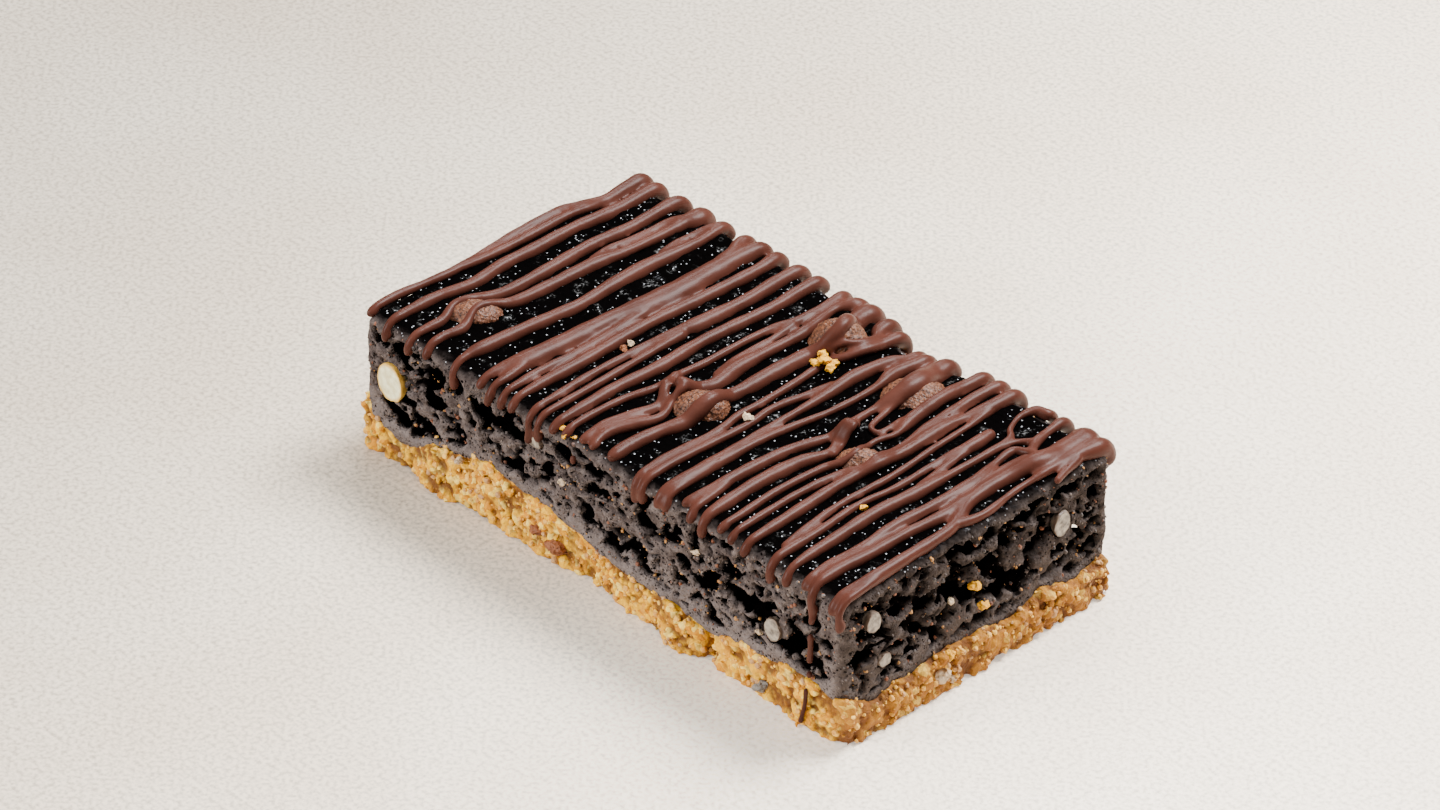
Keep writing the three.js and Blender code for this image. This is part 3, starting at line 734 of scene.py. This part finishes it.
def strand_beads(places, draws):
    """Beads in a row along one strand, each as its place and radius."""
    first_x, first_y, first_width = places[0]
    back_edge = RULER[1] - cake_back(first_x + RULER[0])
    if first_y < back_edge + BACK_START:
        places = [(first_x, back_edge - draws.uniform(*BACK_REACH), first_width), *places]
    drips = DRIP_FROM < places[-1][1] < DRIP_TO
    route = smooth_route(places, BEAD_SPACING)
    drift = draws.uniform(0, 100)
    beads = []
    for i, (ruler_x, ruler_y, width) in enumerate(route):
        sway = math.sin(drift + 0.9 * ruler_y) * math.sin(1.7 * drift + 0.37 * ruler_y)
        width *= STRAND_FULLNESS * (1 + 0.08 * sway)
        high = STRAND_HEIGHT * (1 - math.exp(-width / STRAND_HEIGHT))
        radius = (width * width / 4 + high * high) / (2 * high)
        from_end = min(i, len(route) - 1 - i) * BEAD_SPACING
        blunt = math.sqrt(min(1, (from_end + 0.15) / (0.5 * width)))
        if drips and i > len(route) / 2 and from_end < DROP_LENGTH:
            radius = max(radius * blunt, DROP_RADIUS * (1 - ((from_end - 0.9) / 1.5) ** 2))
            blunt = 1
        x, across = ruler_x + RULER[0], RULER[1] - ruler_y
        if CAKE["front"] + 3 < across < cake_back(x) - 3:
            x, across = true_place(x, across)
        beads.append((on_skin(x, across, high - radius), radius * blunt))
    return beads


def make_drizzle(material):
    """Rows of beads run together: swollen, joined and shrunk again, so that strands meet softly."""
    draws = random.Random(5)
    beads = [bead for places in STRANDS for bead in strand_beads(places, draws)]
    rows = bpy.data.meshes.new("bead_rows")
    rows.from_pydata([place for place, _ in beads], [], [])
    rows.attributes.new("size", "FLOAT", "POINT").data.foreach_set("value", [r for _, r in beads])
    bench, sizes = new_tree("drizzle", ["Voxel", "Join"])
    size = bench.stored("size")
    points = bench.node("GeometryNodeMeshToPoints", {"Mesh": sizes["Geometry"]})
    radius = size + sizes["Join"] + sizes["Voxel"] * 0.55
    by_size = {"resolution_mode": "VOXEL_SIZE"}
    swollen = bench.node(
        "GeometryNodePointsToVolume",
        {"Points": points, "Voxel Size": sizes["Voxel"], "Radius": radius},
        by_size,
    )
    joined = bench.node("GeometryNodeVolumeToMesh", {"Volume": swollen, "Threshold": 0.5})
    band = 1.4
    solid = bench.node(
        "GeometryNodeMeshToVolume",
        {"Mesh": joined, "Voxel Size": sizes["Voxel"], "Interior Band Width": band},
        by_size,
    )
    shrunk = bench.node(
        "GeometryNodeVolumeToMesh", {"Volume": solid, "Threshold": sizes["Join"] / band}
    )
    soft = bench.node(
        "GeometryNodeBlurAttribute",
        {"Value": bench.place(), "Iterations": 2, "Weight": 0.6},
        {"data_type": "FLOAT_VECTOR"},
    )
    shape = bench.moved(shrunk, Position=soft)
    drizzle = grow("drizzle", bench, shape, {"Voxel": 0.2, "Join": 0.3}, material, rows)
    return thinned(drizzle, MOST_TRIANGLES["drizzle"])


# Paints

def new_paint(name):
    """A new material, its bench, its shader node and places in it in millimetres."""
    material = bpy.data.materials.new(name)
    material.use_nodes = True
    bench = Bench(material.node_tree)
    shader = material.node_tree.nodes["Principled BSDF"]
    where = bench.node("ShaderNodeTexCoord", {}, output="Object") * 1000
    return material, bench, shader, where


def stored(bench, name):
    return bench.node("ShaderNodeAttribute", {}, {"attribute_name": name}, output="Fac")


def bumps(bench, height):
    """Normals for a relief whose height is given in millimetres."""
    return bench.node("ShaderNodeBump", {"Height": height, "Distance": MM})


def cake_paint():
    material, bench, shader, where = new_paint("brownie")
    crust, pit = stored(bench, "crust"), stored(bench, "pit")
    patches = bench.noise(where, 1.5, 4).step(-0.7, 1.0)
    cut = bench.mix(patches, (0.048, 0.036, 0.033), (0.175, 0.140, 0.130))
    cut = bench.mix(where.axes()[2].step(7, 15, 0.6, 0), cut, (0.21, 0.17, 0.157))
    # Pale flecks on the outer crumb, not in the pores: partly pale crumb, partly painted highlights
    # on glossy crumb tips.
    pale = bench.noise(where + (0, 0, 60), 0.7, 3).step(0.5, 1.0) * pit.step(0.2, 0.7, 1, 0)
    cut = bench.mix(pale, cut, (0.46, 0.38, 0.33))
    torn = bench.noise(where + (40, 0, 0), 1.1, 3).step(0.3, 0.9) * pit.step(0.1, 0.9)
    cut = bench.mix(torn, cut, (0.16, 0.048, 0.016))
    # Tiny pinholes painted near black: painted shade inside holes too small for the mesh, which
    # also get a small dent in the bump.
    pinholes, _ = bench.cells(bench.warp(where, 1, 0.35), 0.62)
    shaded_pinhole = pinholes.step(0.16, 0.34, 1, 0) * bench.noise(where, 2.2, 1).step(-0.5, 0.3)
    cut = bench.mix(shaded_pinhole, cut, (0.004, 0.003, 0.003))
    # Deeper in the pores the crumb is painted near black: painted shade in the recesses.
    cut = bench.mix(pit.step(0.35, 1.3), cut, (0.0012, 0.0008, 0.0008))
    x, y, z = where.axes()
    # The cut end is painted darker: painted shade on the end face.
    cut = bench.mix(x.step(46.5, 48, 0, 0.5), cut, (0.012, 0.009, 0.007))
    dust = x.step(44.5, 47.5) * y.hill(0.5, 17) * bench.noise(where, 1.3, 3).step(0, 1.1)
    top = bench.mix(dust, (0.001, 0.0008, 0.0008), (0.035, 0.037, 0.043))
    glare = bench.noise(where, 4.6, 1).step(0.65, 1.2) * bench.noise(where, 0.26, 3).step(0.0, 0.7)
    top = bench.mix(glare, top, (0.15, 0.155, 0.17))
    speck, pick = bench.cells(where, 0.42)
    glint = speck.step(0.22, 0.36, 1, 0) * pick.axes()[0].step(0.87, 0.92)
    top = bench.mix(glint, top, (0.30, 0.31, 0.33))
    grain, _ = bench.cells(bench.warp(where, 2, 0.5), 0.8)
    relief = bench.noise(where, 0.5, 3) * 0.22 - shaded_pinhole * 0.3
    wet = bench.noise(where, 0.9, 3) * 0.12 + (0.4 - grain) * 0.35
    wet_patches = bench.noise(where + (9, 0, 0), 2.6, 2).step(0.1, 0.6) * crust
    wet_patches = bench.noise(where, 0.4, 2).step(-0.1, 0.7) * wet_patches * 0.45
    bench.feed(shader, {
        "Base Color": bench.mix(crust, cut, top),
        "Roughness": 0.6,
        "Specular IOR Level": 0.0,
        "Coat Weight": wet_patches,
        "Coat Roughness": 0.12,
        "Normal": bumps(bench, bench.mix(crust, relief, wet, kind="FLOAT")),
    })
    return material


def chocolate_paint():
    material, bench, shader, where = new_paint("chocolate")
    soft = bench.noise(where, 6, 2).step(-1, 1)
    bench.feed(shader, {
        "Base Color": bench.mix(soft, (0.046, 0.0135, 0.0085), (0.07, 0.022, 0.0145)),
        "Roughness": 0.36,
        "Specular IOR Level": 0.085,
        "Normal": bumps(bench, bench.noise(where, 1.2, 2) * 0.02),
    })
    return material


def chunk_paint():
    material, bench, shader, where = new_paint("chunk")
    distance, colour = bench.cells(where, 0.36)
    shade = bench.mix(colour.axes()[0], (0.085, 0.029, 0.014), (0.165, 0.062, 0.029))
    bench.feed(shader, {
        "Base Color": bench.mix(distance.step(0.45, 0.8), shade, (0.035, 0.012, 0.006)),
        "Roughness": 0.45,
        "Specular IOR Level": 0.25,
        "Normal": bumps(bench, bench.noise(where, 0.3, 2) * 0.06),
    })
    return material


def biscuit_paint():
    material, bench, shader, where = new_paint("biscuit")
    x, _, _ = where.axes()
    loose = bench.warp(where, 1.5, 0.4)
    distance, colour = bench.cells(loose, 1.0)
    pick, other, _ = colour.axes()
    # The cut end turns tan: partly the finer crumb of the cut, partly painted shade on the end
    # face, which catches less light.
    end = x.step(46, 49.5, 0, 0.6)
    gold = bench.mix(pick.step(0.1, 0.9), (0.64, 0.25, 0.006), (0.93, 0.50, 0.016))
    tan = bench.mix(other, (0.42, 0.17, 0.025), (0.60, 0.30, 0.05))
    spread = (bench.noise(where, 6, 2).step(-0.3, 1.2) * 0.5 + end).least(1)
    shade = bench.mix(spread, gold, tan)
    shade = bench.mix(other.step(0.8, 0.9), shade, (0.96, 0.66, 0.12))
    # Darker and browner on the cut end: painted shade.
    shade = bench.mix(x.step(46, 49), (1.0, 1.0, 1.0), (0.60, 0.52, 0.44)) * shade
    # Dark brown where the relief is lowest: painted shade in the gaps between crumbs.
    shade = bench.mix(stored(bench, "gap_shade").step(-0.5, 0.25, 0.95, 0), shade, (0.12, 0.038, 0.006))
    relief = bench.noise(where, 0.4, 3) * 0.1 + (0.5 - distance) * 0.1
    bench.feed(shader, {
        "Base Color": shade,
        "Roughness": 0.62,
        "Specular IOR Level": 0.2,
        "Normal": bumps(bench, relief),
    })
    return material


def grain_paint():
    material, bench, shader, where = new_paint("grains")
    _, colour = bench.cells(where, 1.6)
    pick, other, _ = colour.axes()
    shade = bench.mix(pick, (0.58, 0.24, 0.025), (0.90, 0.52, 0.08))
    bench.feed(shader, {
        "Base Color": bench.mix(other.step(0.72, 0.8), shade, (0.48, 0.25, 0.09)),
        "Roughness": 0.55,
        "Normal": bumps(bench, bench.noise(where, 0.35, 2) * 0.08),
    })
    return material


def dark_crumb_paint():
    material, bench, shader, where = new_paint("dark_crumbs")
    _, colour = bench.cells(where, 1.2)
    pick, other, _ = colour.axes()
    shade = bench.mix(pick, (0.03, 0.022, 0.02), (0.11, 0.08, 0.07))
    shade = bench.mix(other.step(0.6, 0.66), shade, (0.17, 0.05, 0.018))
    bench.feed(shader, {
        "Base Color": bench.mix(other.step(0.86, 0.9), shade, (0.38, 0.17, 0.04)),
        "Roughness": 0.6,
        "Normal": bumps(bench, bench.noise(where, 0.3, 2) * 0.06),
    })
    return material


def nut_paint(name, rim, shaded, bright):
    material, bench, shader, where = new_paint(name)
    meat = bench.mix(bench.noise(where, 0.9, 3).step(-0.7, 0.6), shaded, bright)
    bench.feed(shader, {
        "Base Color": bench.mix(stored(bench, "skin").step(0.8, 1.0), meat, rim),
        "Roughness": 0.5,
        "Normal": bumps(bench, bench.noise(where, 0.5, 2) * 0.05),
    })
    return material


def floor_paint():
    material, bench, shader, where = new_paint("floor")
    cloud = bench.noise(where, 60, 4).step(-1, 1)
    speck = bench.noise(where, 0.7, 2).step(-0.9, 0.5)
    x, y, _ = where.axes()
    across = x + y * 0.15
    pale = bench.mix(cloud, (0.80, 0.655, 0.50), (0.96, 0.85, 0.69))
    # Darker towards the left: painted shade across the floor. The glow below adds painted light
    # towards the right.
    pale = pale * across.step(-170, 70, 0.5, 1)
    glow = across.step(-60, 180) * 1.2
    bench.feed(shader, {
        "Base Color": pale * (speck * 0.5 + 0.52),
        "Emission Color": bench.mix(glow, (0.0, 0.0, 0.0), (1.0, 0.93, 0.84)),
        "Emission Strength": 1.0,
        "Roughness": 0.8,
    })
    return material


def over_zero(bench, amount):
    return bench.node("FunctionNodeCompare", {"A": amount, "B": 0.0}, {"operation": "GREATER_THAN"})


def on_cut_cake(bench):
    """The cake's cut sides, but not deep in a pore and not close to the biscuit."""
    crust, pit = bench.stored("crust"), bench.stored("pit")
    _, _, height = bench.place().axes()
    return over_zero(bench, (0.5 - crust).least(2 - pit).least(height - 6.5))


def on_biscuit_side(bench):
    """The upright faces of the biscuit, a little over the floor."""
    x, y, height = bench.place().axes()
    out = (x.size() - 47.5).most(y.size() - 23.8)
    return over_zero(bench, out.least(height - 0.8))


cake = make_cake(cake_paint())
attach(cake, "root")
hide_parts("brownie_cake")
biscuit = make_biscuit(biscuit_paint())
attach(biscuit, "root")
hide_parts("biscuit_base")
drizzle = make_drizzle(chocolate_paint())
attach(drizzle, "root")
chunky = chunk_paint()
for number in range(len(CHUNKS)):
    chunk = make_chunk(number, chunky)
    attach(chunk, "root")
    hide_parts(f"chocolate_chip_{number + 1}")
cream = nut_paint("nut", (0.10, 0.065, 0.045), (0.07, 0.053, 0.042), (0.30, 0.25, 0.195))
skinned = nut_paint("nut_with_skin", (0.66, 0.38, 0.06), (0.66, 0.58, 0.30), (0.88, 0.85, 0.54))
for number in range(len(NUTS)):
    nut = make_nut(number, cream if number else skinned)
    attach(nut, "root")
    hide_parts(f"nut_piece_{number + 1}")
dark = scatter(
    "dark_crumbs", cake, on_cut_cake, 0.35, 4,
    {"Least": 0.1, "Most": 0.4, "Density": 0.4}, dark_crumb_paint(),
)
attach(dark, "root")
golden = scatter(
    "golden_grains", biscuit, on_biscuit_side, 0.5, 9,
    {"Least": 0.15, "Most": 0.6, "Density": 0.5}, grain_paint(),
)
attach(golden, "root")


# Bits

# Each bit: X, Y, Z, length, height, and its colour's number (yellow, cream, brown, grey)
BITS = [
    (5.4, 12.8, 24.6, 1.5, 1.1, 0), (6.8, 11.8, 24.8, 1.8, 1.3, 0), (8, 12.5, 24.5, 1.3, 1, 0),
    (8.8, 11, 24.7, 1.5, 1.2, 0), (6, 10.7, 24.4, 1.2, 0.9, 0), (34.8, -8.3, 24, 1, 0.8, 0),
    (-15.7, -4, 24, 0.8, 0.6, 1), (-15.2, -6, 24, 1, 0.8, 2), (9, -5, 24.2, 1.4, 0.8, 1),
    (-7.8, -24.3, 23.2, 0.9, 0.7, 0), (-6.6, -25, 22.8, 1.1, 0.8, 0),
    (-5.2, -24.6, 23, 0.8, 0.7, 0), (20.3, -25.6, 17.5, 1.1, 0.8, 1),
    (-7, -25.6, 14.8, 0.9, 0.7, 1), (32.5, -25.6, 10.7, 1, 0.8, 1),
    (-8.5, -24.9, 3.2, 4, 2.2, 2), (-12.2, -25.4, 4.2, 2.4, 1.6, 2), (33, -25.5, 1.9, 2.2, 1.2, 3),
    (-27.5, -26.5, 8.5, 1.3, 0.9, 1), (48.4, -0.4, 14.2, 1.6, 1.2, 0), (48.6, 1.3, 10, 1.7, 1.2, 0),
    (49.6, -6.2, 6, 1.6, 1.2, 0), (49, -7.5, 3.2, 3, 2.5, 1), (49.2, -5.4, 1.8, 2, 1.6, 1),
    (48.4, -5, 14, 0.9, 0.7, 1),
]


def bit_paint():
    material, bench, shader, where = new_paint("bits")
    tint = stored(bench, "tint")
    shade = bench.mix(tint.step(0.4, 0.6), (0.78, 0.37, 0.012), (0.60, 0.44, 0.28))
    shade = bench.mix(tint.step(1.4, 1.6), shade, (0.26, 0.085, 0.03))
    shade = bench.mix(tint.step(2.4, 2.6), shade, (0.22, 0.19, 0.16))
    bench.feed(shader, {
        "Base Color": shade * (bench.noise(where, 0.7, 2) * 0.25 + 0.9),
        "Roughness": 0.55,
        "Specular IOR Level": 0.3,
        "Normal": bumps(bench, bench.noise(where, 0.4, 2) * 0.08),
    })
    return material


def make_bits(material):
    """Single crumbs, seeds and nut scraps, each at its own place."""
    spots = bpy.data.meshes.new("bit_spots")
    spots.from_pydata([bit[:3] for bit in BITS], [], [])
    for name, column in (("long", 3), ("high", 4), ("tint", 5)):
        layer = spots.attributes.new(name, "FLOAT", "POINT")
        layer.data.foreach_set("value", [float(bit[column]) for bit in BITS])
    bench, sizes = new_tree("bits", ["Unevenness"])
    points = bench.node("GeometryNodeMeshToPoints", {"Mesh": sizes["Geometry"]})
    ball = bench.ball(0.5, 4)
    long = bench.stored("long")
    high = bench.stored("high")
    whole = bench.node("GeometryNodeRealizeInstances", {"Geometry": bench.node(
        "GeometryNodeInstanceOnPoints",
        {"Points": points, "Instance": ball, "Scale": bench.vector(long, long, high)},
    )})
    place = bench.place()
    push = bench.noise(place, 0.8, 3, output="Color") - (0.5, 0.5, 0.5)
    rough = bench.moved(whole, Offset=push * sizes["Unevenness"])
    return grow("bits", bench, rough, {"Unevenness": 1.5}, material, spots)


bits = make_bits(bit_paint())
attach(bits, "root")


# Camera, floor and light

def point(thing, ahead):
    """Turns a camera or a light to face that way."""
    thing.rotation_mode = "QUATERNION"
    thing.rotation_quaternion = ahead.to_track_quat("-Z", "Y")


def make_camera():
    """A long lens 842 mm away, set so that the long cut side and the cut end both show."""
    azimuth, elevation, distance = math.radians(46.357), math.radians(34.962), 841.84
    back = Vector((
        math.sin(azimuth) * math.cos(elevation),
        -math.cos(azimuth) * math.cos(elevation),
        math.sin(elevation),
    ))
    right = Vector((math.cos(azimuth), math.sin(azimuth), 0))
    up = back.cross(right)
    aside, above = 1.355, 4.327
    camera = new_object("camera", bpy.data.cameras.new("camera"))
    camera.data.lens = 150
    camera.location = MM * (Vector((0, 0, 14)) + back * distance - right * aside + up * above)
    point(camera, -back)
    bpy.context.scene.camera = camera


def make_floor():
    mesh = bpy.data.meshes.new("floor")
    mesh.from_pydata([(-3, -3, 0), (3, -3, 0), (3, 3, 0), (-3, 3, 0)], [], [(0, 1, 2, 3)])
    floor = new_object("floor", mesh)
    mesh.materials.append(floor_paint())


def make_light(name, place, size, power):
    """A square soft light that points at the bar; place and size are in metres."""
    light = new_object(name, bpy.data.lights.new(name, "AREA"))
    light.data.size = size
    light.data.energy = power
    light.location = place
    point(light, -Vector(place))


def make_sky(low, high):
    """A sky that is dim near the horizon and bright overhead."""
    world = bpy.data.worlds.new("sky")
    world.use_nodes = True
    bench = Bench(world.node_tree)
    up = bench.node("ShaderNodeTexCoord", {}, output="Generated").axes()[2]
    background = world.node_tree.nodes["Background"]
    bench.feed(background, {"Color": (1, 0.985, 0.96), "Strength": up.step(0.5, 1, low, high)})
    bpy.context.scene.world = world


make_camera()
make_floor()
make_sky(0.12, 1.5)
make_light("soft_box", (0.14, 0.45, 0.7), 0.36, 24)
make_light("front_fill", (-0.35, -0.8, 0.45), 0.5, 15)
make_light("glint", (-0.25, 0.5, 0.8), 0.09, 2.6)
make_light("back_window", (-0.7, 0.68, 0.68), 0.3, 5)
